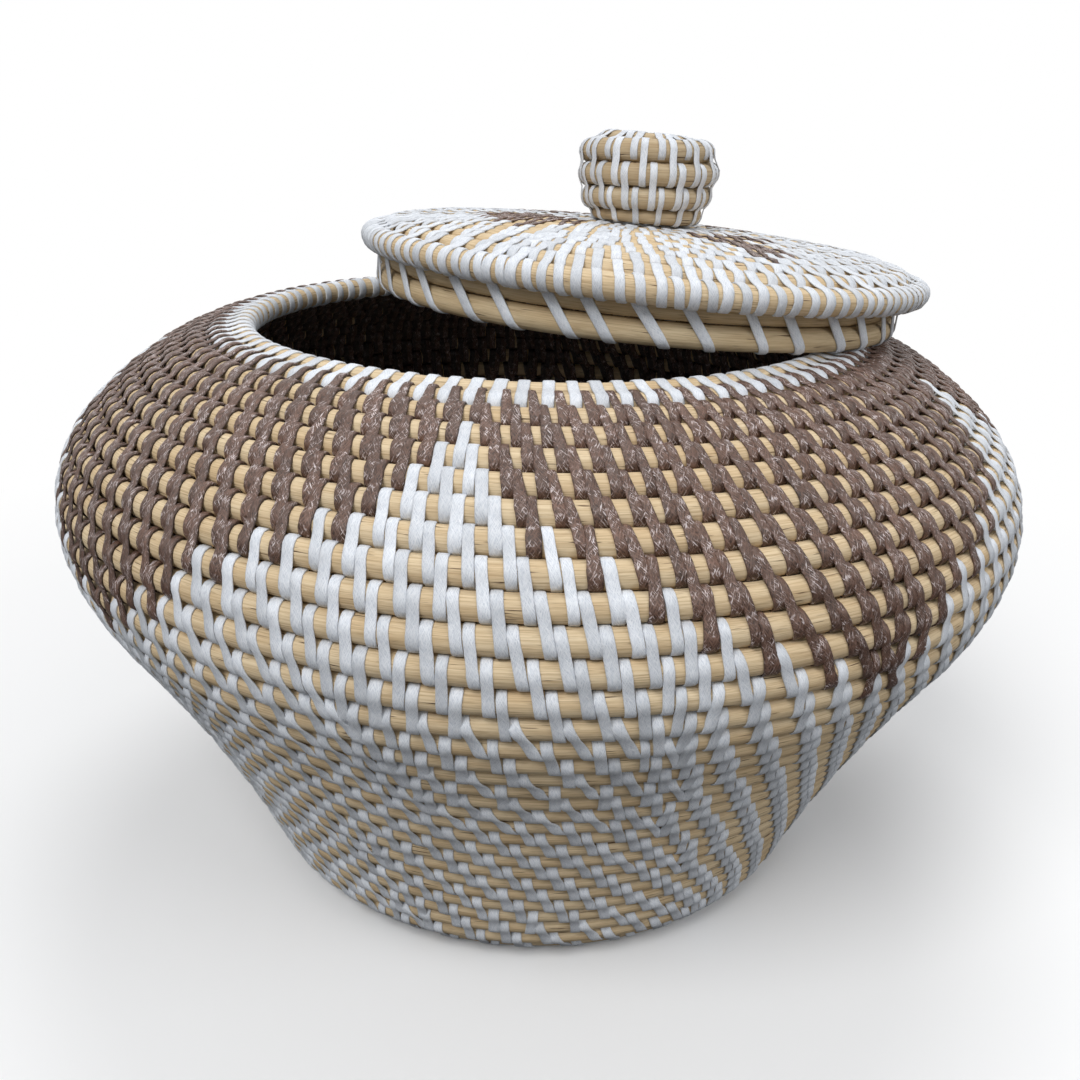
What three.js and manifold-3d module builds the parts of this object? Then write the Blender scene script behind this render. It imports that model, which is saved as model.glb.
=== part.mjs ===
// Coiled cane jar with a knobbed lid, the lid lying askew on the mouth.
//
// The jar is one long spiral of round cane, spliced from several lengths: it starts at a small
// knot in the middle of the base, runs out flat, turns up at the foot, widens to the belly and
// closes in over the shoulder to the rim. The lid is a second spiral with two bare hoops under it
// that drop into the mouth, and the knob is a third one that stands on the middle of the lid.
// Units are millimetres, +Z is up, and the origin is the middle of the base's underside.

import * as THREE from "three";
import { mergeVertices } from "three/addons/utils/BufferGeometryUtils.js";
import Module from "manifold-3d";

const wasm = await Module();
wasm.setup();

// Driving dimensions: cane
const CANE_WIDTH = 5.55;
const TURN_GAP = 0.45;
const SPLICE_GAP = 0.5;
const JAR_CANE_COUNT = 7;
const JAR_STEPS = 24;
const KNOB_STEPS = 12;
const FINE_RADIUS = 30;

// Driving dimensions: jar wall, from the rim down, each stretch an arc of its own length
const MOUTH_RADIUS = 77.6;
const RIM_SLOPE = 2;
const LIP = { length: 21, slope: 26 };
const SHOULDER = { length: 26.5, slope: 46 };
const BELLY = { length: 31.5, slope: 107 };
const WAIST = { length: 14.5, slope: 122 };
const TAPER = { length: 87, slope: 111.5 };
const FOOT = { length: 18, slope: 180 };
const RIM_END_ANGLE = 50;
const FOOT_CUT = 0.5;

// Driving dimensions: lid disc, from its centre out
const HOOP_RADIUS = 69.3;
const BRIM_OVERHANG = 9.3;
const CROWN_SLOPE = 5.4;
const BRIM = { length: 17, slope: 29 };
const LID_END_ANGLE = 90;
const HOOP_SPLICE_ANGLE = 150;

// Driving dimensions: knob, from its top down
const KNOB_FLAT_RADIUS = 10.6;
const KNOB_SHOULDER = { length: 10, slope: 97 };
const KNOB_SIDE = { length: 16.3, slope: 115 };
const KNOB_END_ANGLE = 100;

// Driving dimensions: how a cane's end is thinned and tucked against the turn beside it
const EDGE_END = { turns: 0.25, thinness: 0.35 };
const KNOB_END = { turns: 1, thinness: 0.15 };

// Driving dimensions: knots at the start of each spiral, and clearances
const KNOT_RADIUS = 3.5;
const KNOT_EDGE = 0.8;
const KNOT_CLEARANCE = 0.3;
const SEAT_CLEARANCE = 0.3;

// Driving dimensions: how the lid lies on the mouth
const LID_SHIFT_RIGHT = 25.3;
const LID_SHIFT_BACK = 10.8;
const LID_TILT_RIGHT = 3.8;
const LID_TILT_BACK = 1.6;

// The cane's section is a pentagon with one corner outwards, as wide along the wall as the cane
const SIDES = 5;
const SECTION_RADIUS = CANE_WIDTH / 2 / Math.sin((2 * Math.PI) / SIDES);
const SECTION_INSIDE = SECTION_RADIUS * Math.cos(Math.PI / SIDES);
const PITCH = CANE_WIDTH + TURN_GAP;
const START_RADIUS = KNOT_RADIUS + KNOT_CLEARANCE + CANE_WIDTH / 2;
const BASE_HEIGHT = SECTION_RADIUS - FOOT_CUT;

const radians = THREE.MathUtils.degToRad;

// A profile is a chain of arcs in the (radius, height) plane. A slope of 0 runs outwards,
// 90 runs down and 180 runs inwards. It gives a place and a slope for each length along it.
function chainOfArcs(radius, height, slope, arcs) {
  const pieces = [];
  let at = { length: 0, radius, height, slope: radians(slope) };
  for (const arc of arcs) {
    const turn = radians(arc.slope) - at.slope;
    const piece = { ...at, turn, span: arc.length };
    pieces.push(piece);
    at = { ...placeOnArc(piece, arc.length), length: at.length + arc.length };
  }
  const total = at.length;
  const place = (length) => {
    const piece = pieces.findLast((p) => length >= p.length) ?? pieces[0];
    return placeOnArc(piece, length - piece.length);
  };
  return { place, total, end: at };
}

function placeOnArc(piece, along) {
  const slope = piece.slope + (piece.turn * along) / piece.span;
  if (Math.abs(piece.turn) < 1e-9) {
    return {
      radius: piece.radius + along * Math.cos(slope),
      height: piece.height - along * Math.sin(slope),
      slope,
    };
  }
  const bend = piece.span / piece.turn;
  return {
    radius: piece.radius + bend * (Math.sin(slope) - Math.sin(piece.slope)),
    height: piece.height + bend * (Math.cos(slope) - Math.cos(piece.slope)),
    slope,
  };
}

// A spiral of cane laid along a profile, one turn for each pitch of length. It turns clockwise
// from its first end, seen from above, and is sampled at whole steps of a turn. Either end may
// be thinned over some of its turns.
function spiral(profile, endAngle, steps, ends = {}) {
  const angleAt = (length) => radians(endAngle) - (2 * Math.PI * length) / PITCH;
  const samples = [];
  let index = 0;
  while ((index * PITCH) / steps <= profile.total) {
    const length = (index * PITCH) / steps;
    samples.push(length);
    const coarse = profile.place(length).radius < FINE_RADIUS && index % 2 === 0;
    index += coarse && steps === JAR_STEPS ? 2 : 1;
  }
  return { profile, angleAt, samples, ends };
}

// How thick the cane is at a length, and the place on the profile where its middle line runs: a
// thinned end leans on the full turn beside it
function thinned(coil, length) {
  const thicknessNear = (end, run) => {
    const reach = (end?.turns ?? 0) * PITCH;
    return run < reach ? THREE.MathUtils.lerp(end.thinness, 1, run / reach) : 1;
  };
  const atFirst = thicknessNear(coil.ends.first, length);
  const atLast = thicknessNear(coil.ends.last, coil.profile.total - length);
  const lean = (CANE_WIDTH / 2) * (atLast - atFirst);
  return { thickness: Math.min(atFirst, atLast), along: length + lean };
}

function sectionPoints(coil, length) {
  const { thickness, along } = thinned(coil, length);
  const { radius, height, slope } = coil.profile.place(along);
  const angle = coil.angleAt(length);
  const points = [];
  for (let side = 0; side < SIDES; side += 1) {
    const around = (2 * Math.PI * side) / SIDES;
    const out = thickness * SECTION_RADIUS * Math.cos(around);
    const down = thickness * SECTION_RADIUS * Math.sin(around);
    const r = radius + out * Math.sin(slope) + down * Math.cos(slope);
    const z = height + out * Math.cos(slope) - down * Math.sin(slope);
    points.push(new THREE.Vector3(r * Math.cos(angle), r * Math.sin(angle), z));
  }
  return points;
}

function centrePoint(coil, length) {
  const { radius, height } = coil.profile.place(length);
  const angle = coil.angleAt(length);
  return new THREE.Vector3(radius * Math.cos(angle), radius * Math.sin(angle), height);
}

// A closed tube through rings of points, with flat ends and its faces outwards
function tubeThrough(rings) {
  const sides = rings[0].length;
  const positions = rings.flat().flatMap((p) => [p.x, p.y, p.z]);
  const faces = [];
  for (let ring = 0; ring + 1 < rings.length; ring += 1) {
    for (let side = 0; side < sides; side += 1) {
      const a = ring * sides + side;
      const b = ring * sides + ((side + 1) % sides);
      faces.push([a, a + sides, b], [b, a + sides, b + sides]);
    }
  }
  const last = (rings.length - 1) * sides;
  for (let side = 1; side + 1 < sides; side += 1) {
    faces.push([0, side, side + 1], [last, last + side + 1, last + side]);
  }
  if (signedVolume(positions, faces) < 0) {
    faces.forEach((face) => face.reverse());
  }
  const geometry = new THREE.BufferGeometry();
  geometry.setAttribute("position", new THREE.Float32BufferAttribute(positions, 3));
  geometry.setIndex(faces.flat());
  return geometry;
}

function signedVolume(positions, faces) {
  const corner = (i) => new THREE.Vector3().fromArray(positions, 3 * i);
  return faces.reduce((sum, [a, b, c]) => sum + corner(a).dot(corner(b).cross(corner(c))) / 6, 0);
}

// One length of cane out of a spiral, drawn back at its spliced ends by half the splice gap
function caneBetween(coil, first, last, splicedFirst, splicedLast) {
  const lengths = coil.samples.slice(first, last + 1);
  const drawBack = (length) => {
    const circumference = 2 * Math.PI * coil.profile.place(length).radius;
    return ((SPLICE_GAP / 2) * PITCH) / circumference;
  };
  if (splicedFirst) {
    lengths[0] += drawBack(lengths[0]);
  }
  if (splicedLast) {
    lengths[lengths.length - 1] -= drawBack(lengths.at(-1));
  }
  return tubeThrough(lengths.map((length) => sectionPoints(coil, length)));
}

// The places where a spiral is spliced, so that all its canes are about equally long
function spliceIndices(coil, caneCount) {
  const run = [0];
  for (let i = 1; i < coil.samples.length; i += 1) {
    const step = centrePoint(coil, coil.samples[i]).distanceTo(centrePoint(coil, coil.samples[i - 1]));
    run.push(run.at(-1) + step);
  }
  const indices = [];
  for (let cane = 0; cane <= caneCount; cane += 1) {
    const target = (run.at(-1) * cane) / caneCount;
    indices.push(run.findIndex((length) => length >= target - 1e-6));
  }
  return { indices, caneLength: run.at(-1) / caneCount };
}

// The least distance between the corners of neighbouring turns
function leastGap(coil) {
  let least = Infinity;
  for (const length of coil.samples) {
    if (length + PITCH > coil.samples.at(-1)) {
      continue;
    }
    const here = sectionPoints(coil, length);
    const next = sectionPoints(coil, length + PITCH);
    for (const a of here) {
      for (const b of next) {
        least = Math.min(least, a.distanceTo(b));
      }
    }
  }
  return least;
}

// Joins and cuts
function toManifold(geometry) {
  const bare = geometry.clone();
  bare.deleteAttribute("normal");
  bare.deleteAttribute("uv");
  const merged = mergeVertices(bare, 1e-4);
  return new wasm.Manifold(
    new wasm.Mesh({
      numProp: 3,
      vertProperties: Float32Array.from(merged.attributes.position.array),
      triVerts: Uint32Array.from(merged.index.array),
    }),
  );
}

function toGeometry(manifold) {
  const mesh = manifold.getMesh();
  const geometry = new THREE.BufferGeometry();
  geometry.setAttribute("position", new THREE.BufferAttribute(new Float32Array(mesh.vertProperties), 3));
  geometry.setIndex(new THREE.BufferAttribute(new Uint32Array(mesh.triVerts), 1));
  return geometry;
}

function cutFlatUnderneath(geometry, reach) {
  const depth = 2 * CANE_WIDTH;
  const below = new THREE.BoxGeometry(2 * reach, 2 * reach, depth);
  below.translate(0, 0, -depth / 2);
  return toGeometry(toManifold(geometry).subtract(toManifold(below)));
}

// Materials
function caneMaterial() {
  return new THREE.MeshStandardMaterial({ color: 0xcdae82, roughness: 0.72, metalness: 0 });
}

function hoopMaterial() {
  return new THREE.MeshStandardMaterial({ color: 0xb79c74, roughness: 0.7, metalness: 0 });
}

function stripMaterial() {
  return new THREE.MeshStandardMaterial({ color: 0xd9dce2, roughness: 0.6, metalness: 0 });
}

function named(name, geometry, material) {
  geometry.computeVertexNormals();
  const mesh = new THREE.Mesh(geometry, material);
  mesh.name = name;
  return mesh;
}

// Jar: the whole spiral from the rim's end to the knot in the base
function jarSpiral() {
  const wall = [LIP, SHOULDER, BELLY, WAIST, TAPER, FOOT];
  const drop = chainOfArcs(MOUTH_RADIUS, 0, RIM_SLOPE, wall).end;
  const base = { length: drop.radius - START_RADIUS, slope: FOOT.slope };
  const rimHeight = BASE_HEIGHT - drop.height;
  const profile = chainOfArcs(MOUTH_RADIUS, rimHeight, RIM_SLOPE, [...wall, base]);
  return spiral(profile, RIM_END_ANGLE, JAR_STEPS, { first: EDGE_END });
}

// Canes are numbered from the base up to the rim, in the order that they are laid
function jarCanes(coil) {
  const { indices, caneLength } = spliceIndices(coil, JAR_CANE_COUNT);
  console.log(`jar: ${JAR_CANE_COUNT} canes of ${(caneLength / 1000).toFixed(2)} m`);
  const canes = [];
  for (let fromRim = 0; fromRim < JAR_CANE_COUNT; fromRim += 1) {
    const atRim = fromRim === 0;
    const atBase = fromRim === JAR_CANE_COUNT - 1;
    const whole = caneBetween(coil, indices[fromRim], indices[fromRim + 1], !atRim, !atBase);
    const geometry = atBase ? cutFlatUnderneath(whole, MOUTH_RADIUS * 2) : whole;
    canes.push(named(`jar_cane_${JAR_CANE_COUNT - fromRim}`, geometry, caneMaterial()));
  }
  return canes.reverse();
}

// Knot of strip that each spiral starts round: a short round button with eased edges
function startKnot(name, bottom, top) {
  const outline = [
    [0, bottom],
    [KNOT_RADIUS - KNOT_EDGE, bottom],
    [KNOT_RADIUS, bottom + KNOT_EDGE],
    [KNOT_RADIUS, top - KNOT_EDGE],
    [KNOT_RADIUS - KNOT_EDGE, top],
    [0, top],
  ].map(([radius, height]) => new THREE.Vector2(radius, height));
  const lathe = new THREE.LatheGeometry(outline, KNOB_STEPS);
  lathe.rotateX(Math.PI / 2);
  return named(name, lathe, stripMaterial());
}

// Lid disc: the spiral from the knot at the centre out to the edge, then read from the edge in
function lidSpiral() {
  const edgeRadius = HOOP_RADIUS + BRIM_OVERHANG;
  const crown = { length: edgeRadius - START_RADIUS - BRIM.length, slope: CROWN_SLOPE };
  const outwards = chainOfArcs(START_RADIUS, 0, 0, [crown, BRIM]);
  const place = (length) => {
    const { radius, height, slope } = outwards.place(outwards.total - length);
    return { radius, height, slope };
  };
  return spiral({ place, total: outwards.total }, LID_END_ANGLE, JAR_STEPS, { first: EDGE_END });
}

function heightAtRadius(profile, radius) {
  let low = 0;
  let high = profile.total;
  for (let halving = 0; halving < 40; halving += 1) {
    const middle = (low + high) / 2;
    if (profile.place(middle).radius > radius) {
      low = middle;
    } else {
      high = middle;
    }
  }
  return profile.place(low).height;
}

// Hoop: one cane bent round once, its ends butted at a splice
function hoop(name, height) {
  const place = () => ({ radius: HOOP_RADIUS, height, slope: Math.PI / 2 });
  const coil = spiral({ place, total: PITCH }, HOOP_SPLICE_ANGLE, JAR_STEPS);
  const geometry = caneBetween(coil, 0, coil.samples.length - 1, true, true);
  return named(name, geometry, hoopMaterial());
}

// Knob: a third spiral, from the middle of its flat top round the bulb and in to the neck
function knobSpiral() {
  const flat = { length: KNOB_FLAT_RADIUS - START_RADIUS, slope: 0 };
  const profile = chainOfArcs(START_RADIUS, 0, 0, [flat, KNOB_SHOULDER, KNOB_SIDE]);
  return spiral(profile, KNOB_END_ANGLE, KNOB_STEPS, { last: KNOB_END });
}

function wholeCane(coil, lift) {
  const geometry = caneBetween(coil, 0, coil.samples.length - 1, false, false);
  geometry.translate(0, 0, lift);
  return geometry;
}

// The lid's own frame has its origin at the centre of the lower hoop. The disc lies on the upper
// hoop, and the knob stands on the disc.
function lidParts(disc) {
  const upperHoop = PITCH;
  const hoopTop = upperHoop + CANE_WIDTH / 2 + SEAT_CLEARANCE;
  const discLift = hoopTop + SECTION_RADIUS - heightAtRadius(disc.profile, HOOP_RADIUS);
  const crown = discLift + disc.profile.place(disc.profile.total).height;
  const knob = knobSpiral();
  const knobCane = wholeCane(knob, 0);
  knobCane.computeBoundingBox();
  const knobTop = crown + SECTION_RADIUS + SEAT_CLEARANCE - knobCane.boundingBox.min.z;
  knobCane.translate(0, 0, knobTop);
  console.log(`knob: least gap between turns ${leastGap(knob).toFixed(2)} mm`);
  return [
    hoop("flange_hoop_lower", 0),
    hoop("flange_hoop_upper", upperHoop),
    named("lid_cane", wholeCane(disc, discLift), caneMaterial()),
    startKnot("lid_start_knot", crown - SECTION_INSIDE, crown + SECTION_INSIDE),
    named("knob_cane", knobCane, caneMaterial()),
    startKnot("knob_start_knot", knobTop - SECTION_INSIDE, knobTop + SECTION_INSIDE),
  ];
}

// The lid is let down, tilted and off centre, until its lower hoop touches the mouth. The least
// distance is taken between the hoop's middle line and the jar's turns at the same angle.
function lidRestHeight(jar, tilt) {
  const rimHeight = jar.profile.place(0).height;
  const touching = 2 * SECTION_RADIUS + SEAT_CLEARANCE;
  let low = rimHeight - HOOP_RADIUS;
  let high = rimHeight + HOOP_RADIUS;
  for (let halving = 0; halving < 30; halving += 1) {
    const middle = (low + high) / 2;
    if (hoopClearance(jar, tilt, middle) > touching) {
      high = middle;
    } else {
      low = middle;
    }
  }
  return high;
}

function hoopClearance(jar, tilt, height) {
  const samples = 120;
  let least = Infinity;
  for (let sample = 0; sample < samples; sample += 1) {
    const around = (2 * Math.PI * sample) / samples;
    const point = new THREE.Vector3(Math.cos(around), Math.sin(around), 0).multiplyScalar(HOOP_RADIUS);
    point.applyEuler(tilt).add(new THREE.Vector3(LID_SHIFT_RIGHT, LID_SHIFT_BACK, height));
    least = Math.min(least, distanceToTurns(jar, point));
  }
  return least;
}

function distanceToTurns(jar, point) {
  const angle = Math.atan2(point.y, point.x);
  const turnPart = THREE.MathUtils.euclideanModulo((radians(RIM_END_ANGLE) - angle) / (2 * Math.PI), 1);
  let least = Infinity;
  for (let length = turnPart * PITCH; length < LIP.length + SHOULDER.length; length += PITCH) {
    const { radius, height } = jar.profile.place(length);
    least = Math.min(least, Math.hypot(Math.hypot(point.x, point.y) - radius, point.z - height));
  }
  // A hoop below the rim, inside the mouth, counts as touching
  const sunk = point.z < jar.profile.place(0).height - CANE_WIDTH;
  return sunk && Math.hypot(point.x, point.y) < MOUTH_RADIUS ? 0 : least;
}

function buildJar() {
  const jar = new THREE.Group();
  const coil = jarSpiral();
  console.log(`jar: least gap between turns ${leastGap(coil).toFixed(2)} mm`);
  jar.add(...jarCanes(coil), startKnot("base_start_knot", 0, BASE_HEIGHT + SECTION_INSIDE));

  const lid = new THREE.Group();
  const disc = lidSpiral();
  console.log(`lid: least gap between turns ${leastGap(disc).toFixed(2)} mm`);
  lid.add(...lidParts(disc));
  lid.rotation.set(-radians(LID_TILT_BACK), radians(LID_TILT_RIGHT), 0);
  lid.position.set(LID_SHIFT_RIGHT, LID_SHIFT_BACK, lidRestHeight(coil, lid.rotation));
  jar.add(lid);
  return jar;
}

export default buildJar();
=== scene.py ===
"""Looks of the coiled cane jar: round canes, stitches of flat strip, hoops, wraps and knob.

Lengths are in millimetres until a mesh is made, and every mesh is in metres in the model's frame.
A coil is measured in turns from its start, where the maker began it. Angles, slopes and tilts
among the constants are in degrees, and the camera's are in radians.
"""

import math

import bpy
import numpy as np
from mathutils import Matrix, Vector


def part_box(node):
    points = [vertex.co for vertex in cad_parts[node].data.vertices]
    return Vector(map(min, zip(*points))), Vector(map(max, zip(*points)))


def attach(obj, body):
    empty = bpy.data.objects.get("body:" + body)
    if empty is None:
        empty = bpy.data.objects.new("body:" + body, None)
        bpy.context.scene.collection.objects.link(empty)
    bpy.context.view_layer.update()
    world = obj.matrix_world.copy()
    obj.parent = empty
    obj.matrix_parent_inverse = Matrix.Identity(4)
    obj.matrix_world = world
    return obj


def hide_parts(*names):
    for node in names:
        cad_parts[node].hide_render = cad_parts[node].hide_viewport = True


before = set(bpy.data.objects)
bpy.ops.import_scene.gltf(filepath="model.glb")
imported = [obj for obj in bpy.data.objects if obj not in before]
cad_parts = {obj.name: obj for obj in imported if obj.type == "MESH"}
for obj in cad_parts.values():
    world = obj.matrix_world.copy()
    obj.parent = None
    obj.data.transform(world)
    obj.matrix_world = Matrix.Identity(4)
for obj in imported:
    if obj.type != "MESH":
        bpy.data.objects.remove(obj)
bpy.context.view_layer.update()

MM = 0.001
TURN = 2 * math.pi
rng = np.random.default_rng(11)

# Sizes of the cane and of the coils, the same as in the solids. An arc is its length and end slope.
PITCH = 6.0
CANE_WIDTH = 5.55
CANE_RADIUS = 2.918
START_RADIUS = 6.575
END_TURNS = 0.25
END_THICKNESS = 0.35
BASE_HEIGHT = 2.418
MOUTH_RADIUS = 77.6
JAR_WALL = [(21, 26), (26.5, 46), (31.5, 107), (14.5, 122), (87, 111.5), (18, 180)]
JAR_RIM_SLOPE = 2
JAR_RIM_ANGLE = 50
JAR_CANES = 7
HOOP_RADIUS = 69.3
HOOP_SPLICE_ANGLE = 150
LID_RADIUS = 78.6
LID_CROWN_SLOPE = 5.4
LID_BRIM = (17, 29)
LID_EDGE_ANGLE = 90
LID_TILT_RIGHT = 3.8
LID_TILT_BACK = 1.6
KNOB_END_ANGLE = 100
KNOB_END_TURNS = 1
KNOB_END_THICKNESS = 0.15
SEAT_CLEARANCE = 0.3
SPLICE_STEPS = 24
SPLICE_FINE_RADIUS = 30

# Other than in the solids, for looks: the cane's section, and the knob's flat top and arcs
CANE_SIDES = 14
CANE_SQUARENESS = 2.35
KNOB_FLAT = 12.0
KNOB_ARCS = [(7.6, 97), (17.7, 115)]

# Room under the lowest canes, the least turn of an arc in radians, and samples of a profile
FLOOR_CLEARANCE = 0.3
TINY = 1e-6
PROFILE_SAMPLES = 4000
KNOB_SAMPLES = 400


class Profile:
    """A chain of arcs in the (radius, height) plane, as in the solids."""

    def __init__(self, radius, height, slope, arcs):
        rows = []
        at = (0.0, radius, height, math.radians(slope))
        for span, end_slope in arcs:
            turn = math.radians(end_slope) - at[3]
            turn = turn if abs(turn) > TINY else TINY
            rows.append((*at, turn, span))
            self.table = np.array(rows)
            r, z, s = self.place(at[0] + span)
            at = (at[0] + span, float(r), float(z), float(s))
        self.total = at[0]
        self.end_radius, self.end_height = at[1], at[2]

    def place(self, length):
        """Radius, height and slope at a length from the profile's start."""
        row = np.searchsorted(self.table[:, 0], length, side="right") - 1
        parts = np.moveaxis(self.table[np.clip(row, 0, None)], -1, 0)
        start, radius, height, slope, turn, span = parts
        here = slope + turn * (length - start) / span
        bend = span / turn
        r = radius + bend * (np.sin(here) - np.sin(slope))
        z = height + bend * (np.cos(here) - np.cos(slope))
        return r, z, here


class Ring:
    """A hoop's profile: the same place for every length."""

    def __init__(self, height):
        self.height = height

    def place(self, length):
        one = np.ones_like(length, dtype=float)
        return HOOP_RADIUS * one, self.height * one, math.pi / 2 * one


class Coil:
    """A cane along a profile, one turn for each pitch.

    spin is +1 where the angle grows with the turns, and back is +1 where the profile's length
    shrinks with them. Over its last thin_turns the cane is thinned to thin times its size.
    """

    def __init__(self, profile, turns, angle, spin, back, place, thin_turns=0, thin=1.0):
        self.profile, self.turns, self.start_angle = profile, turns, angle
        self.spin, self.back = spin, back
        self.place = np.array(place)
        self.thin_turns, self.thin = thin_turns, thin

    def length(self, q):
        return (self.turns - q) * PITCH if self.back > 0 else q * PITCH

    def angle(self, q):
        return self.start_angle + self.spin * TURN * q

    def thickness(self, q):
        if not self.thin_turns:
            return np.ones_like(q)
        left = np.clip((self.turns - q) / self.thin_turns, 0, 1)
        return self.thin + (1 - self.thin) * left

    def rows(self, q):
        """Centre of the row, its direction towards the row before, outward normal, thickness."""
        q = np.asarray(q, float)
        thick = self.thickness(q)
        lean = CANE_WIDTH / 2 * (1 - thick)
        r, z, slope = self.profile.place(self.length(q) + self.back * lean)
        toward = self.back * np.stack([np.cos(slope), -np.sin(slope)], -1)
        out = np.stack([np.sin(slope), np.cos(slope)], -1)
        return np.stack([r, z], -1), toward, out, thick

    def radius(self, q):
        return self.profile.place(self.length(q))[0]

    def solid(self, flat, angle):
        """Points of the (radius, height) plane turned round the axis and put in the model."""
        p = np.stack([flat[..., 0] * np.cos(angle), flat[..., 0] * np.sin(angle), flat[..., 1]], -1)
        return p @ self.place[:3, :3].T + self.place[:3, 3] / MM


def jar_coil():
    """From the middle of the base outward and up the wall to the rim."""
    fall = Profile(MOUTH_RADIUS, 0, JAR_RIM_SLOPE, JAR_WALL)
    base = (fall.end_radius - START_RADIUS, JAR_WALL[-1][1])
    profile = Profile(MOUTH_RADIUS, BASE_HEIGHT - fall.end_height, JAR_RIM_SLOPE, JAR_WALL + [base])
    turns = profile.total / PITCH
    start = math.radians(JAR_RIM_ANGLE) - TURN * turns
    return Coil(profile, turns, start, 1, 1, Matrix(), END_TURNS, END_THICKNESS)


def lid_place():
    low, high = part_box("flange_hoop_lower")
    tilt = Matrix.Rotation(-math.radians(LID_TILT_BACK), 4, "X")
    tilt = tilt @ Matrix.Rotation(math.radians(LID_TILT_RIGHT), 4, "Y")
    return Matrix.Translation((low + high) / 2) @ tilt


def lid_coil(place):
    """From the knob outward to the edge, at the height at which it lies on the upper hoop."""
    crown = (LID_RADIUS - START_RADIUS - LID_BRIM[0], LID_CROWN_SLOPE)
    level = Profile(START_RADIUS, 0, 0, [crown, LID_BRIM])
    lengths = np.linspace(0, level.total, PROFILE_SAMPLES)
    radius, height, _ = level.place(lengths)
    seat = PITCH + CANE_WIDTH / 2 + SEAT_CLEARANCE + CANE_RADIUS
    lift = seat - float(np.interp(HOOP_RADIUS, radius, height))
    profile = Profile(START_RADIUS, lift, 0, [crown, LID_BRIM])
    turns = profile.total / PITCH
    start = math.radians(LID_EDGE_ANGLE) - TURN * turns
    return Coil(profile, turns, start, 1, -1, place, END_TURNS, END_THICKNESS)


def knob_coil(place, crown):
    """The knob's end is thinned over its last turn, and its foot stands just over the crown."""
    profile = Profile(START_RADIUS, 0, 0, [(KNOB_FLAT - START_RADIUS, 0)] + KNOB_ARCS)
    turns = profile.total / PITCH
    start = math.radians(KNOB_END_ANGLE)
    coil = Coil(profile, turns, start, -1, -1, place, KNOB_END_TURNS, KNOB_END_THICKNESS)
    centre, _, _, thick = coil.rows(np.linspace(0, turns, KNOB_SAMPLES))
    foot = float((centre[:, 1] - thick * CANE_RADIUS).min())
    coil.place = np.array(place @ Matrix.Translation((0, 0, (crown + SEAT_CLEARANCE - foot) * MM)))
    return coil


# Meshes
def signed_volume(points, faces):
    a, b, c, d = (points[faces[:, k]] for k in range(4))
    return float((np.cross(a, b) * c).sum() + (np.cross(a, c) * d).sum())


def tube_mesh(name, points, along, across, tone):
    """Closed tubes of one size each: points is (tubes, rings, sides, 3) in millimetres."""
    tubes, rings, sides, _ = points.shape
    index = np.arange(tubes * rings * sides).reshape(tubes, rings, sides)
    turned = np.roll(index, -1, axis=2)
    quads = np.stack([index[:, :-1], turned[:, :-1], turned[:, 1:], index[:, 1:]], -1)
    quads = quads.reshape(-1, 4)
    u = np.broadcast_to(along[:, :, None], (tubes, rings, sides))
    v = np.broadcast_to(across[:, None, :], (tubes, rings, sides + 1))
    u4 = np.stack([u[:, :-1], u[:, :-1], u[:, 1:], u[:, 1:]], -1).reshape(-1, 4)
    v4 = np.stack([v[:, :-1, :-1], v[:, :-1, 1:], v[:, 1:, 1:], v[:, 1:, :-1]], -1).reshape(-1, 4)
    caps = np.concatenate([index[:, 0, ::-1], index[:, -1]])
    cap_u = np.concatenate([u[:, 0], u[:, -1]])
    cap_v = np.concatenate([v[:, 0, :-1][:, ::-1], v[:, -1, :-1]])
    flat = points.reshape(-1, 3)
    first_tube = quads[: (rings - 1) * sides]
    if signed_volume(flat - flat[0], first_tube) < 0:
        quads, u4, v4 = quads[:, ::-1], u4[:, ::-1], v4[:, ::-1]
        caps, cap_u, cap_v = caps[:, ::-1], cap_u[:, ::-1], cap_v[:, ::-1]
    mesh = bpy.data.meshes.new(name)
    mesh.from_pydata((flat * MM).tolist(), [], quads.tolist() + caps.tolist())
    side_uv = np.stack([u4.ravel(), v4.ravel()], -1)
    cap_uv = np.stack([cap_u.ravel(), cap_v.ravel()], -1)
    uv = np.concatenate([side_uv, cap_uv])
    mesh.uv_layers.new(name="Length").data.foreach_set("uv", uv.astype(np.float32).ravel())
    shade = mesh.attributes.new("tone", "FLOAT", "POINT")
    shade.data.foreach_set("value", np.repeat(tone, rings * sides).astype(np.float32))
    mesh.shade_smooth()
    return mesh


def piece(name, mesh, body, slot, replaces=()):
    mesh.materials.append(MATERIALS[slot])
    thing = bpy.data.objects.new(name, mesh)
    bpy.context.scene.collection.objects.link(thing)
    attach(thing, body)
    if replaces:
        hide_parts(*replaces)


# Materials
STRIP_SPAN = 3.0


def linear(red, green, blue):
    """The colour that shows as these values of 0 to 255."""
    parts = [c / 255 for c in (red, green, blue)]
    return tuple(c / 12.92 if c <= 0.04045 else ((c + 0.055) / 1.055) ** 2.4 for c in parts) + (1,)


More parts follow.
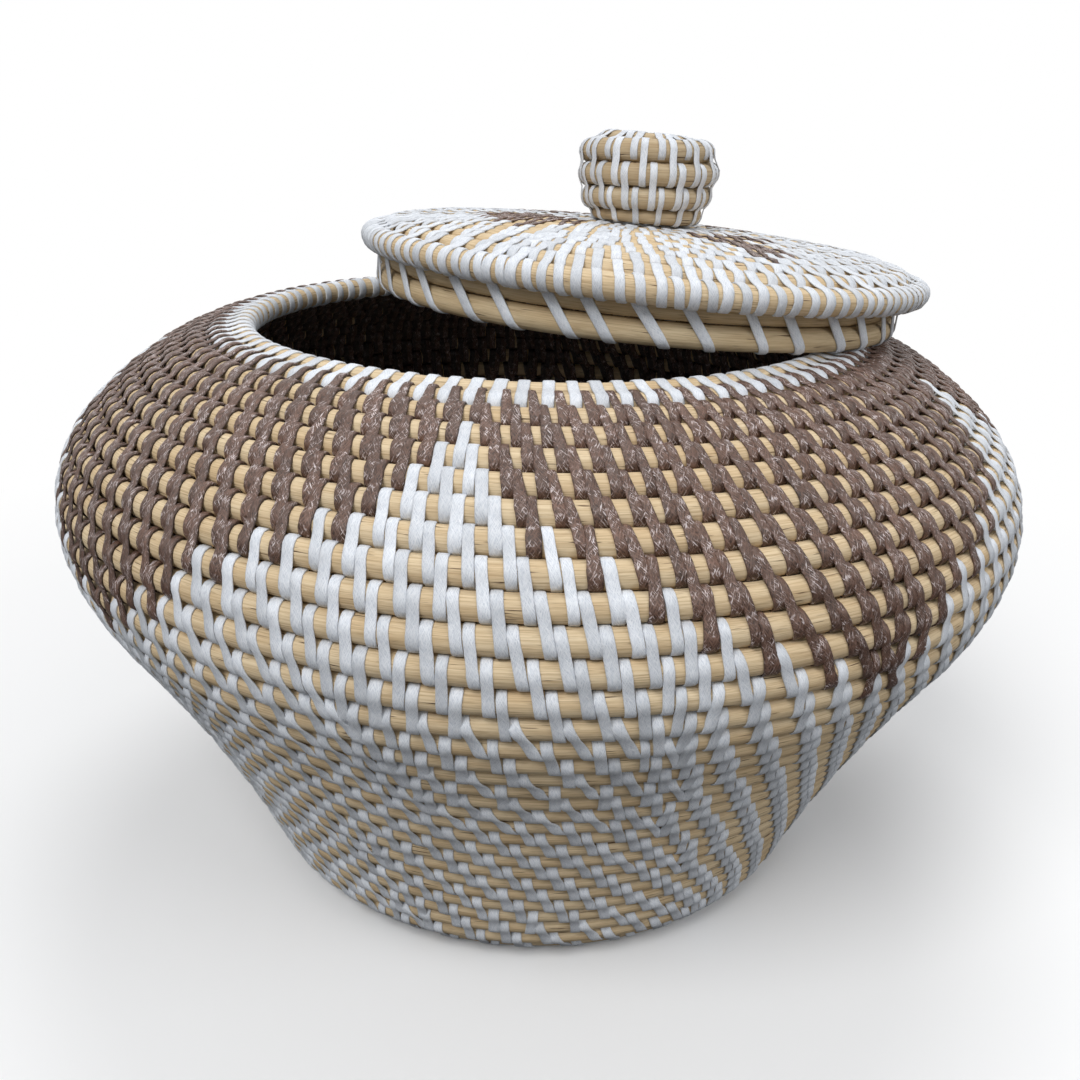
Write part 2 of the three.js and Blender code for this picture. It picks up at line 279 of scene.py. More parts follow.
class Nodes:
    """A material's node tree, with short calls for the nodes used here."""

    def __init__(self, name):
        self.material = bpy.data.materials.new(name)
        self.material.use_nodes = True
        self.tree = self.material.node_tree
        self.shader = self.tree.nodes["Principled BSDF"]
        self.uv = self.add("ShaderNodeUVMap", uv_map="Length").outputs["UV"]

    def add(self, kind, **settings):
        node = self.tree.nodes.new(kind)
        for key, value in settings.items():
            setattr(node, key, value)
        return node

    def link(self, source, target):
        self.tree.links.new(source, target)

    def stretched(self, along, across, turn=0.0, shift=0.0):
        """The place on the cane or strip in millimetres, scaled along and across it, and turned."""
        node = self.add("ShaderNodeMapping", vector_type="TEXTURE" if turn else "POINT")
        if turn:
            node.inputs["Scale"].default_value = (1 / along, 1 / across, 1)
        else:
            node.inputs["Scale"].default_value = (along, across, 1)
        node.inputs["Rotation"].default_value = (0, 0, math.radians(turn))
        node.inputs["Location"].default_value = (shift, shift, 0)
        self.link(self.uv, node.inputs["Vector"])
        return node.outputs["Vector"]

    def noise(self, vector, detail=3.0, rough=0.55):
        node = self.add("ShaderNodeTexNoise")
        node.inputs["Scale"].default_value = 1.0
        node.inputs["Detail"].default_value = detail
        node.inputs["Roughness"].default_value = rough
        self.link(vector, node.inputs["Vector"])
        return node.outputs["Fac"]

    def ramp(self, fac, stops):
        node = self.add("ShaderNodeValToRGB")
        elements = node.color_ramp.elements
        while len(elements) < len(stops):
            elements.new(0.5)
        for element, (place, colour) in zip(elements, stops):
            element.position = place
            element.color = colour if len(colour) == 4 else (*colour, 1)
        self.link(fac, node.inputs["Fac"])
        return node.outputs["Color"]

    def grey(self, fac, low, high, dark=0.0, light=1.0):
        return self.ramp(fac, [(low, (dark,) * 3), (high, (light,) * 3)])

    def mix(self, fac, a, b, blend="MIX"):
        node = self.add("ShaderNodeMix", data_type="RGBA", blend_type=blend)
        for socket, value in ((node.inputs[0], fac), (node.inputs[6], a), (node.inputs[7], b)):
            if isinstance(value, (int, float, tuple)):
                socket.default_value = value
            else:
                self.link(value, socket)
        return node.outputs[2]

    def maths(self, operation, a, b):
        node = self.add("ShaderNodeMath", operation=operation)
        for socket, value in zip(node.inputs, (a, b)):
            if isinstance(value, (int, float)):
                socket.default_value = value
            else:
                self.link(value, socket)
        return node.outputs["Value"]

    def across(self, stops):
        """A grey by the place across the strip, in parts of STRIP_SPAN, that multiplies the colour."""
        split = self.add("ShaderNodeSeparateXYZ")
        self.link(self.uv, split.inputs["Vector"])
        place = self.maths("DIVIDE", split.outputs["Y"], STRIP_SPAN)
        return self.ramp(place, [(at, (value,) * 3) for at, value in stops])

    def tone(self, low, high):
        """A grey that differs from piece to piece of cane or strip and multiplies the colour."""
        fac = self.add("ShaderNodeAttribute", attribute_name="tone").outputs["Fac"]
        return self.grey(fac, 0.0, 1.0, low, high)

    def bump(self, height, distance, strength):
        node = self.add("ShaderNodeBump")
        node.inputs["Strength"].default_value = strength
        node.inputs["Distance"].default_value = distance
        self.link(height, node.inputs["Height"])
        self.link(node.outputs["Normal"], self.shader.inputs["Normal"])

    def finish(self, colour, rough, specular):
        self.link(colour, self.shader.inputs["Base Color"])
        self.link(rough, self.shader.inputs["Roughness"])
        self.shader.inputs["Specular IOR Level"].default_value = specular
        return self.material


def cane_material(name, light, middle, dark, crack):
    """Peeled cane: long pale and dark fibres, blotches, short dark splits and dull sheen."""
    n = Nodes(name)
    fibre = n.noise(n.stretched(0.05, 2.6), 4.0, 0.6)
    hair = n.noise(n.stretched(0.12, 7.0, shift=31), 2.0, 0.6)
    blotch = n.noise(n.stretched(0.035, 0.16, shift=57))
    split = n.noise(n.stretched(0.10, 1.9, shift=83), 2.0, 0.5)
    colour = n.ramp(fibre, [(0.30, dark), (0.47, middle), (0.66, light)])
    colour = n.mix(n.grey(hair, 0.34, 0.62, 0.0, 0.55), colour, light)
    warm = n.ramp(blotch, [(0.32, (0.84, 0.76, 0.66)), (0.62, (1.0, 1.0, 1.0))])
    colour = n.mix(0.85, colour, warm, "MULTIPLY")
    lines = n.grey(split, 0.28, 0.345)
    colour = n.mix(lines, crack, colour)
    grain = n.noise(n.stretched(0.13, 3.9, shift=109), 2.0, 0.5)
    colour = n.mix(n.grey(grain, 0.36, 0.43, 0.62, 0.0), colour, dark)
    colour = n.mix(1.0, colour, n.tone(0.74, 1.04), "MULTIPLY")
    height = n.maths("ADD", n.maths("MULTIPLY", fibre, 0.6), n.maths("MULTIPLY", lines, 0.8))
    height = n.maths("ADD", height, n.maths("MULTIPLY", hair, 0.35))
    n.bump(height, distance=0.00022, strength=0.8)
    return n.finish(colour, n.grey(fibre, 0.3, 0.7, 0.72, 0.56), specular=0.3)


def strip_material(name, light, middle, dark, painted_glint_colour, painted_glint_share, gloss, edge, uneven):
    """Flat palm strip: fibres that cross at a low angle, a soft sheen, glossy spots with a painted
    highlight, and painted shade along the edges.
    """
    n = Nodes(name)
    one = n.noise(n.stretched(0.62, 5.6, 19), 3.0, 0.6)
    two = n.noise(n.stretched(0.62, 5.6, -21, 40), 3.0, 0.6)
    broad = n.noise(n.stretched(0.20, 0.4, shift=77), 2.0)
    cross = n.maths("MAXIMUM", one, two)
    colour = n.ramp(cross, [(0.42, dark), (0.55, middle), (0.70, light)])
    shade = n.grey(broad, 0.3, 0.7, 0.92, 1.03)
    colour = n.mix(1.0, colour, shade, "MULTIPLY")
    # Painted highlight: a bright glint colour is mixed in where the crossing fibres stand highest within
    # slow patches, and the roughness drops there too.
    patches = n.grey(n.noise(n.stretched(0.5, 0.7, shift=131), 2.0), 0.45, 0.60)
    glint = n.maths("MULTIPLY", n.grey(cross, painted_glint_share, painted_glint_share + 0.08), patches)
    colour = n.mix(glint, colour, painted_glint_colour)
    # Painted shade: the colour darkens towards both edges of the strip, down to the edge value, as if
    # shaded by the neighbouring strips.
    edges = n.across([(0.02, edge), (0.13, 1.0), (0.60, 1.0), (0.74, edge)])
    colour = n.mix(1.0, colour, edges, "MULTIPLY")
    colour = n.mix(1.0, colour, n.tone(uneven, 1.08), "MULTIPLY")
    n.bump(cross, distance=0.00026, strength=0.9)
    rough = n.mix(glint, (gloss, gloss, gloss, 1), (0.28, 0.28, 0.28, 1))
    return n.finish(colour, rough, specular=0.45)


# In both strip materials the bright glint colour is a painted highlight, and edge sets how dark the
# painted shade along the strips' edges is.
MATERIALS = {
    "cane": cane_material(
        "cane", light=linear(228, 208, 174), middle=linear(208, 186, 150),
        dark=linear(172, 146, 110), crack=linear(92, 68, 46)),
    "hoop_cane": cane_material(
        "hoop_cane", light=linear(212, 193, 158), middle=linear(192, 171, 136),
        dark=linear(164, 140, 106), crack=linear(88, 66, 44)),
    "white_strip": strip_material(
        "white_strip", light=linear(238, 240, 244), middle=linear(224, 228, 234),
        dark=linear(200, 206, 215), painted_glint_colour=linear(247, 248, 251),
        painted_glint_share=0.70, gloss=0.5, edge=0.9, uneven=0.86),
    "brown_strip": strip_material(
        "brown_strip", light=linear(134, 104, 91), middle=linear(105, 78, 65),
        dark=linear(56, 40, 33), painted_glint_colour=linear(228, 218, 218),
        painted_glint_share=0.565, gloss=0.40, edge=0.3, uneven=0.74),
}

# Round canes
CANE_STEP = 3.0
SAMPLES_A_TURN = 96
SWELL_WAVE = 9
SWELL_SIZE = 0.006
SKIN_UNEVEN = 0.003
CANE_TONES = (0.7, 0.95)
CANE_GRAIN_SHIFT = 900
SPLICE_GAP = 0.0006


def arc_turns(coil, first, last):
    """Turns from first to last at even steps along the cane, and their lengths from first."""
    q = np.linspace(first, last, max(4, int((last - first) * SAMPLES_A_TURN)))
    radius = coil.radius(q)
    run = np.concatenate([[0], np.cumsum(np.diff(q) * TURN * (radius[1:] + radius[:-1]) / 2)])
    count = max(3, int(run[-1] / CANE_STEP) + 1)
    even = np.linspace(0, run[-1], count)
    return np.interp(even, run, q), even


def slow_noise(run, wave, size):
    """A smooth random curve along the cane, with about one swing for each wave of length."""
    knots = np.arange(-2, run[-1] / wave + 3) * wave
    return np.interp(run, knots, rng.normal(0, size, len(knots)))


def squarish(phis):
    """The cane is pressed a little square: how far its skin is at each angle, in radii."""
    power = np.abs(np.cos(phis)) ** CANE_SQUARENESS + np.abs(np.sin(phis)) ** CANE_SQUARENESS
    return power ** (-1 / CANE_SQUARENESS)


def cane_points(coil, first, last, floor):
    q, run = arc_turns(coil, first, last)
    centre, toward, out, thick = coil.rows(q)
    around = TURN * np.arange(CANE_SIDES) / CANE_SIDES
    skin = CANE_RADIUS * (thick + slow_noise(run, SWELL_WAVE, SWELL_SIZE))[:, None]
    skin = skin * squarish(around) * (1 + rng.normal(0, SKIN_UNEVEN, (len(q), CANE_SIDES)))
    flat = centre[:, None] + skin[..., None] * (
        np.cos(around)[None, :, None] * toward[:, None] + np.sin(around)[None, :, None] * out[:, None])
    points = coil.solid(flat, coil.angle(q)[:, None])
    if floor is not None:
        points[..., 2] = np.maximum(points[..., 2], floor)
    across = np.arange(CANE_SIDES + 1) * TURN * CANE_RADIUS / CANE_SIDES
    return points, run, across


def cane_piece(name, node, coil, first, last, body, slot="cane", floor=None, tone=None):
    points, run, across = cane_points(coil, first, last, floor)
    run = run + rng.uniform(0, CANE_GRAIN_SHIFT)
    tone = rng.uniform(*CANE_TONES) if tone is None else tone
    mesh = tube_mesh(name, points[None], run[None], across[None], np.array([tone]))
    piece(name, mesh, body, slot, [node])


def splice_turns(coil, canes):
    """The turns at which the coil is spliced: at whole steps, near equal lengths of cane."""
    samples, index = [], 0
    while index * PITCH / SPLICE_STEPS <= coil.profile.total:
        length = index * PITCH / SPLICE_STEPS
        samples.append(length)
        fine = coil.profile.place(length)[0] < SPLICE_FINE_RADIUS
        index += 2 if fine and index % 2 == 0 else 1
    q = coil.turns - np.array(samples) / PITCH
    r, z, _ = coil.profile.place(np.array(samples))
    p = coil.solid(np.stack([r, z], -1), coil.angle(q))
    run = np.concatenate([[0], np.cumsum(np.linalg.norm(np.diff(p, axis=0), axis=1))])
    marks = [int(np.argmax(run >= run[-1] * k / canes - TINY)) for k in range(canes + 1)]
    return [float(q[k]) for k in marks]


# Angles round the cane at which a stitch has its rings: 0 is towards the row before, 90 is outward
OWN_ARC = [172, 150, 128, 106, 84, 62]
BEFORE_ARC = [118, 96, 74, 52, 30, 8]
LID_BEFORE_ARC = [118, 104, 90, 74]
WRAPPED_ARC = [352, 322, 292, 262, 232, 202]
SHORT_ARC = WRAPPED_ARC + OWN_ARC + [40, 18]
INSIDE_OWN = [168, 130, 92, 58]
INSIDE_BEFORE = [122, 88, 50, 12]
START_END = 84

# Section of a strip: its points across and up, in widths and thicknesses, and the way over it
STRIP_ACROSS = np.array([-0.5, -0.5, -0.42, 0.0, 0.42, 0.5, 0.5, 0.0])
STRIP_UP = np.array([0.0, 0.6, 0.9, 1.0, 0.9, 0.6, 0.0, -0.1])
STRIP_OVER = np.array([0, 0.1, 0.16, 0.5, 0.84, 0.9, 1.0, 1.5, 2.0])
STRIP_TOP, STRIP_EDGE = 3, 6
STRIP_LIFT = 0.02
THICK_OWN = 0.42
THICK_BEFORE = 0.36
WIDTH_RING = 3
END_WIDTH = 0.94
WIDTH_UNEVEN = 0.05
WIDTH_WAVES = 0.02
CHANGE_OVER = (0.35, 0.65)
STRIP_GRAIN_SHIFT = 400
GROOVE_DIP = 0.12

# Spacing of the stitches in turns, numbers and shares, and the range of the slant in millimetres
FIRST_STITCH = 0.05
FIRST_ROUND = 8
NEIGHBOURS = 5
ADDED_SHARES = (0.26, 0.74)
ADDING_PAUSE = 0.09
EVENING = 0.35
EVENING_LIMIT = 0.2
SLANT_RANGE = (-0.4, 3.4)
NEAR_START = 0.5


def stitch_turns(coil, widest, share):
    """The turns of the stitches: each lies at a share of the way between two of the turn before.

    widest is a function of the turn: where the stitches part farther, a stitch more goes in.
    """
    turns = list(FIRST_STITCH + np.arange(FIRST_ROUND) / FIRST_ROUND)
    at, since = 0, 0
    while True:
        a, b = turns[at], turns[at + 1]
        low, high = max(at - NEIGHBOURS, 0), at + NEIGHBOURS + 1
        step = (turns[high] - turns[low]) / (high - low)
        wide = step * TURN * float(coil.radius(np.float64(a + 1))) > widest(a + 1)
        if wide and since * step > ADDING_PAUSE:
            new, since = [a + 1 + (b - a) * part for part in ADDED_SHARES], 0
        else:
            even = 0.0
            if high - low == 2 * NEIGHBOURS + 1:
                even = EVENING * ((turns[low] + turns[high]) / 2 - (a + b) / 2)
            even = float(np.clip(even, -EVENING_LIMIT * step, EVENING_LIMIT * step))
            new, since = [a + 1 + (b - a) * share + even], since + 1
        if new[-1] > coil.turns:
            return np.array(turns)
        turns += new
        at += 1


def jittered(coil, q, size):
    """The stitches moved a little along the cane, by random lengths of about this size."""
    return q + rng.normal(0, size, len(q)) / (TURN * coil.radius(q))


def spacing(coil, q):
    """The distance along the cane from each stitch to the next."""
    step = np.diff(q, append=q[-1] + (q[-1] - q[-2]))
    return np.abs(step) * TURN * coil.radius(q)


def beside_index(coil, q):
    """For each stitch the one of the row before that its lower half lies beside."""
    after = np.searchsorted(q, q - 1)
    return np.clip(after if coil.back > 0 else after - 1, 0, len(q) - 1)


def slants(coil, q, beside, apart):
    """How far each stitch moves round the coil on its way to the row before.

    There it lies beside that row's own stitch, their middles apart by the given distance.
    """
    room = np.abs(q[beside] - (q - 1)) * TURN * coil.radius(np.maximum(q - 1, NEAR_START))
    return coil.back * np.clip(room - apart, *SLANT_RANGE)


def lay_strips(coil, centre, toward, out, cane, angle, phis, width, thick, floor=None):
    """Strips over canes, from the canes' middles and frames and the angles phi round them."""
    lift = (CANE_RADIUS * cane * squarish(phis) + STRIP_LIFT)[..., None]
    spoke = np.cos(phis)[..., None] * toward + np.sin(phis)[..., None] * out
    line = coil.solid(centre + lift * spoke, angle)
    normal = coil.solid(centre + (lift + 1) * spoke, angle) - line
    across = np.cross(np.gradient(line, axis=1), normal)
    across /= np.linalg.norm(across, axis=-1, keepdims=True)
    points = (line[:, :, None]
              + (width[..., None] * STRIP_ACROSS)[..., None] * across[:, :, None]
              + (thick[..., None] * STRIP_UP)[..., None] * normal[:, :, None])
    if floor is not None:
        points[..., 2] = np.maximum(points[..., 2], floor)
    steps = np.linalg.norm(np.diff(line, axis=1), axis=-1)
    run = np.concatenate([np.zeros((len(line), 1)), np.cumsum(steps, axis=1)], axis=1)
    return points, run


def strip_tubes(coil, q, rows, phis, shift, width, thick, side=1, floor=None):
    """Stitches at the turns q: for each ring the row (0 own, -1 before) and its angle phi.

    shift is how far the strip moves along the cane from its own row to the row before, in the
    direction of growing angle. side is -1 for the inside of the wall.
    """
    rows = np.asarray(rows, float)
    phis = np.radians(phis)
    behind = np.maximum(phis - math.pi, 0)
    arc = (CANE_RADIUS * (np.cos(np.minimum(phis, math.pi)) - behind) - rows * PITCH) / PITCH
    lateral = shift[:, None] * arc
    near = coil.radius(np.maximum(q, NEAR_START))[:, None]
    q_ring = q[:, None] + rows[None] + coil.spin * lateral / near / TURN
    centre, toward, out, cane = coil.rows(q_ring)
    angle = coil.angle(q)[:, None] + lateral / near
    return lay_strips(coil, centre, toward, side * out, cane, angle, phis, width, thick, floor)


def bridged(points, run, at, dip):
    """A ring more between two rings, sunk a little into the groove between the rows."""
    a, b = points[:, at], points[:, at + 1]
    middle = (a + b) / 2
    inward = middle.mean(1, keepdims=True) - middle[:, STRIP_TOP : STRIP_TOP + 1]
    inward /= np.linalg.norm(inward, axis=-1, keepdims=True)
    ring = middle + dip * inward
    points = np.concatenate([points[:, : at + 1], ring[:, None], points[:, at + 1:]], axis=1)
    half = (run[:, at] + run[:, at + 1]) / 2
    return points, np.concatenate([run[:, : at + 1], half[:, None], run[:, at + 1:]], axis=1)


def stitches(coil, q, width_own, width_before, shift, thick_own=THICK_OWN, thick_before=THICK_BEFORE,
             wrapped=False, side=1, floor=None, dip=GROOVE_DIP, before_arc=BEFORE_ARC):
    """Stitches over their own row and the row before, as points and lengths for strip_piece."""
    count = len(q)
    own, before = (OWN_ARC, before_arc) if side > 0 else (INSIDE_OWN, INSIDE_BEFORE)
    own = (WRAPPED_ARC if wrapped else []) + own
    rows = [0] * len(own) + [-1] * len(before)
    phis = np.tile(np.array(own + before, float), (count, 1))
    # The first turn has no row before it, so its stitches end flat over the knot
    phis[q < 1, len(own):] = np.linspace(before[0], START_END, len(before))
    ends = np.ones(len(rows))
    ends[0] = ends[-1] = END_WIDTH
    shape = np.concatenate([np.full(len(own), 0.0), np.full(len(before), 1.0)])
    shape[len(own) - 1 : len(own) + 1] = CHANGE_OVER
    vary = 1 + rng.normal(0, WIDTH_UNEVEN, (count, 1))
    wave = 1 + rng.normal(0, WIDTH_WAVES, (count, len(rows)))
    width = (width_own[:, None] * (1 - shape) + width_before[:, None] * shape) * ends * vary * wave
    thick = np.broadcast_to(thick_own * (1 - shape) + thick_before * shape, width.shape) * vary
    points, run = strip_tubes(coil, q, rows, phis, shift, width, thick, side, floor)
    return bridged(points, run, len(own) - 1, dip)


def strip_piece(name, parts, body, slot, replaces=()):
    points, run = parts
    start = rng.uniform(0, STRIP_GRAIN_SHIFT, (len(points), 1))
    edges = points[:, WIDTH_RING, STRIP_EDGE] - points[:, WIDTH_RING, 0]
    across = np.linalg.norm(edges, axis=-1)[:, None] * STRIP_OVER
    mesh = tube_mesh(name, points, run + start, across, rng.uniform(0, 1, len(points)))
    piece(name, mesh, body, slot, replaces)


# The first white row under the brown zone, counted from the rim, by angle round the jar
ZIGZAG = [
    (-174, 3), (-168.5, 6), (-137, 12.5), (-105, 5.4), (-99.6, 2.0), (-94.4, 5.4), (-59, 12.6),
    (-28.5, 6), (-23, 3), (-17.5, 6), (12, 12), (42.5, 6), (48, 3), (53.5, 6), (83, 12),
    (112.5, 6), (118, 3), (123.5, 6), (152, 12)]

# The jar's stitches: rows from the rim, widths and distances in millimetres
JAR_WIDEST = ([12, 16, 20, 24], [8.4, 9.3, 10.1, 10.2])
JAR_SHARE = 0.57
JAR_JITTER = 0.12
JAR_WIDTHS = ([1, 12, 18], [2.3, 2.35, 2.5])
JAR_FULL_SPACING = 6.0
JAR_LEAST_WIDTH = 0.85
RIM_WIDTH = 2.5
WHITE_LOWER = 1.02
BROWN_UPPER, BROWN_LOWER, BROWN_APART = 0.84, 1.28, 1.8
BROWN_THICK_OWN, BROWN_THICK_BEFORE = 0.66, 0.42
ROOM_BETWEEN = 1.02
FLOOR_CANES = 2
FLOOR_ROW = 20
WHITE_ZONES = [("upper", 1, 14), ("middle", 14, 20), ("lower", 20, 28), ("base", 28, math.inf)]
INSIDE_ZONES = [
    ("brown_upper", 1, 10, "brown_strip", 1.7), ("brown_middle", 10, 19, "brown_strip", 1.7),
    ("white_lower", 19, 26, "white_strip", 1.3), ("white_base", 26, math.inf, "white_strip", 1.3)]


def zigzag_row(angle):
    angles, rows = np.array(ZIGZAG).T
    return np.interp(np.degrees(angle), angles, rows, period=360)


def make_jar_canes(jar):
    splices = splice_turns(jar, JAR_CANES)
    for number in range(JAR_CANES):
        from_rim = JAR_CANES - 1 - number
        first = splices[from_rim + 1] + (SPLICE_GAP if number else 0)
        last = splices[from_rim] - (SPLICE_GAP if from_rim else 0)
        name = f"jar_cane_{number + 1}"
        floor = FLOOR_CLEARANCE if number < FLOOR_CANES else None
        cane_piece(name + "_round", name, jar, first, last, "jar", floor=floor)


def make_jar_stitches(jar):
    """The stitches by zone, outside and then on the inside of the wall."""
    q = stitch_turns(jar, lambda turn: np.interp(jar.turns - turn, *JAR_WIDEST), JAR_SHARE)
    q = jittered(jar, q, JAR_JITTER)
    from_rim = jar.turns - q
    rim = from_rim < 1.0
    brown = ~rim & (np.floor(from_rim) < zigzag_row(jar.angle(q)))
    white = ~rim & ~brown
    crowded = np.clip(spacing(jar, q) / JAR_FULL_SPACING, JAR_LEAST_WIDTH, 1)
    width = np.interp(from_rim, *JAR_WIDTHS) * crowded
    width[rim] = RIM_WIDTH
    upper = width * np.where(brown, BROWN_UPPER, 1)
    lower = width * np.where(brown, BROWN_LOWER, WHITE_LOWER)
    beside = beside_index(jar, q)
    apart = (lower + upper[beside]) / 2 * ROOM_BETWEEN
    shift = slants(jar, q, beside, np.where(brown & brown[beside], BROWN_APART, apart))

    def lay(name, zone, slot, **options):
        parts = stitches(jar, q[zone], upper[zone], lower[zone], shift[zone], **options)
        strip_piece(name, parts, "jar", slot)

    lay("stitches_brown", brown, "brown_strip",
        thick_own=BROWN_THICK_OWN, thick_before=BROWN_THICK_BEFORE)
    lay("stitches_rim", rim, "white_strip", wrapped=True)
    for name, high, low in WHITE_ZONES:
        zone = white & (from_rim >= high) & (from_rim < low)
        lay(f"stitches_white_{name}", zone, "white_strip", floor=0.0 if low > FLOOR_ROW else None)
    for name, high, low, slot, broader in INSIDE_ZONES:
        zone = (from_rim >= high) & (from_rim < low)
        widths = width[zone] * broader
        parts = stitches(jar, q[zone], widths, widths, -shift[zone], side=-1)
        strip_piece(f"stitches_inside_{name}", parts, "jar", slot)


# Wraps of the two hoops: angles of the wraps in front, the others evenly round the back
FRONT_WRAPS = [-148.3, -141.0, -130.6, -121.5, -110.2, -103.1, -93.9, -85.1, -73.6, -65.8, -55.3, -46.5]
BACK_WRAPS = 28
WRAP_JITTER = 0.7
WRAP_SLANT = 4.3
WRAP_SLANT_UNEVEN = 0.08
WRAP_RETURN = 1.05
WRAP_DEPTH = 1.49
WRAP_WIDTH = 2.5

# Angles round a hoop of a wrap's rings, down outside, round the lower hoop and up inside
UPPER_OUT = [178, 152, 126, 100]
LOWER_OUT = [84, 62, 40, 18]
LOWER_IN = [-8, -34, -60, -88]
UPPER_IN = [-92, -120, -148, -176]


def make_hoops(place):
    for node, height in (("flange_hoop_lower", 0), ("flange_hoop_upper", PITCH)):
        ring = Coil(Ring(height), 1, math.radians(HOOP_SPLICE_ANGLE), 1, 1, place)
        cane_piece(node + "_round", node, ring, SPLICE_GAP, 1 - SPLICE_GAP, "lid", "hoop_cane")


def make_wraps(lid):
    """Strips round both hoops, which slant on the outside and go back a little on the inside."""
    back_step = (360 - FRONT_WRAPS[-1] + FRONT_WRAPS[0]) / (BACK_WRAPS + 1)
    back = FRONT_WRAPS[-1] + back_step * np.arange(1, BACK_WRAPS + 1)
    back = back + rng.normal(0, WRAP_JITTER, BACK_WRAPS)
    wrap_angles = np.radians(np.concatenate([FRONT_WRAPS, back]))
    phis = np.radians(np.array(UPPER_OUT + LOWER_OUT + LOWER_IN + UPPER_IN, float))
    on_lower = [0] * len(LOWER_OUT + LOWER_IN)
    heights = np.array([PITCH] * len(UPPER_OUT) + on_lower + [PITCH] * len(UPPER_IN), float)
    arc = (CANE_RADIUS * np.cos(phis) + PITCH - heights) / PITCH
    outside = np.arange(len(phis)) < len(UPPER_OUT + LOWER_OUT)
    inner = WRAP_SLANT * WRAP_DEPTH + WRAP_RETURN * (WRAP_DEPTH - arc)
    lateral = np.where(outside, WRAP_SLANT * arc, inner)
    count, rings = len(wrap_angles), len(phis)
    slant = 1 + rng.normal(0, WRAP_SLANT_UNEVEN, (count, 1))
    angle = wrap_angles[:, None] + lateral * slant / (HOOP_RADIUS + CANE_RADIUS)
    whole = np.ones((count, rings))
    centre = np.stack([HOOP_RADIUS * whole, heights * whole], -1)
    toward = np.broadcast_to([0.0, -1.0], centre.shape)
    out = np.broadcast_to([1.0, 0.0], centre.shape)
    width = WRAP_WIDTH * whole * (1 + rng.normal(0, WIDTH_UNEVEN, (count, 1)))
    thick = THICK_OWN * whole
    parts = lay_strips(lid, centre, toward, out, whole, angle, phis * whole, width, thick)
    strip_piece("wraps_of_hoops", parts, "lid", "white_strip")


# The lid's stitches. A brown patch is two angles and two radii in the lid's own frame.
LID_PATCHES = [
    (-180, -131, 25, 47), (166, 180, 26, 40), (-63, -45, 28, 58), (-45, -16, 28, 40),
    (36, 74, 30, 52), (112, 140, 32, 50)]
LID_WIDEST = ([10, 30, 46, 78], [4.7, 5.5, 6.1, 8.8])
LID_SHARE = 0.46
COIL_JITTER = 0.1
LID_WIDTHS = ([20, 46, 60], [1.8, 2.15, 2.45])
LID_LOWER = 1.04
LID_BROWN = 0.8
LID_SLANT = 0.4
LID_STRAIGHT_RADIUS = 14
SHORT_SHARE = 0.47
SHORT_SHIFT = -1.5
SHORT_WIDTH = 2.2
SHORT_THICK = 0.40


def make_lid_stitches(lid):
    """Stitches over and under the lid, and short ones between the long ones on its edge."""
    q = stitch_turns(lid, lambda turn: np.interp(lid.radius(np.float64(turn)), *LID_WIDEST), LID_SHARE)
    q = jittered(lid, q, COIL_JITTER)
    edge = q > lid.turns - 1
    radius = lid.radius(q)
    degrees = (np.degrees(lid.angle(q)) + 180) % 360 - 180
    patch = np.zeros(len(q), bool)
    for low, high, inner, outer in LID_PATCHES:
        patch |= (degrees > low) & (degrees < high) & (radius > inner) & (radius < outer)
    width = np.interp(radius, *LID_WIDTHS)
    shift = LID_SLANT * slants(lid, q, beside_index(lid, q), width * ROOM_BETWEEN)
    shift[radius < LID_STRAIGHT_RADIUS] = 0
    white, brown = ~edge & ~patch, ~edge & patch
    for name, zone, slot, share in (("lid_edge", edge, "white_strip", 1),
                                    ("lid_white", white, "white_strip", 1),
                                    ("lid_brown", brown, "brown_strip", LID_BROWN)):
        widths = width[zone] * share
        parts = stitches(lid, q[zone], widths, widths * LID_LOWER, shift[zone],
                         wrapped=zone is edge, before_arc=LID_BEFORE_ARC)
        strip_piece("stitches_" + name, parts, "lid", slot)
    for name, zone, slot in (("white", white, "white_strip"), ("brown", brown, "brown_strip")):
        parts = stitches(lid, q[zone], width[zone], width[zone], -shift[zone], side=-1)
        strip_piece("stitches_under_lid_" + name, parts, "lid", slot)

    long_ones = q[edge]
    between = long_ones[:-1] + SHORT_SHARE * (long_ones[1:] - long_ones[:-1])
    phis = np.tile(np.array(SHORT_ARC, float), (len(between), 1))
    whole = np.ones(phis.shape)
    parts = strip_tubes(lid, between, [0] * len(SHORT_ARC), phis, np.full(len(between), SHORT_SHIFT),
                        SHORT_WIDTH * whole, SHORT_THICK * whole)
    strip_piece("stitches_lid_edge_short", parts, "lid", "white_strip")


# The knob's stitches: a first turn of few, then the same number in each turn and a part more
KNOB_FIRST_ROUND = 7
KNOB_SECOND_TURN = 1.06
KNOB_STITCHES = 15
KNOB_STAGGER = 0.42
KNOB_BARE_END = 0.12
KNOB_WIDTH = 1.95
KNOB_LOWER = 1.05
KNOB_FULL_SPACING = 6.4
KNOB_LEAST_WIDTH = 0.75
KNOB_SHIFT = -0.35
KNOB_THICK_OWN = 0.32
KNOB_THICK_BEFORE = 0.28
KNOB_DIP = 0.4


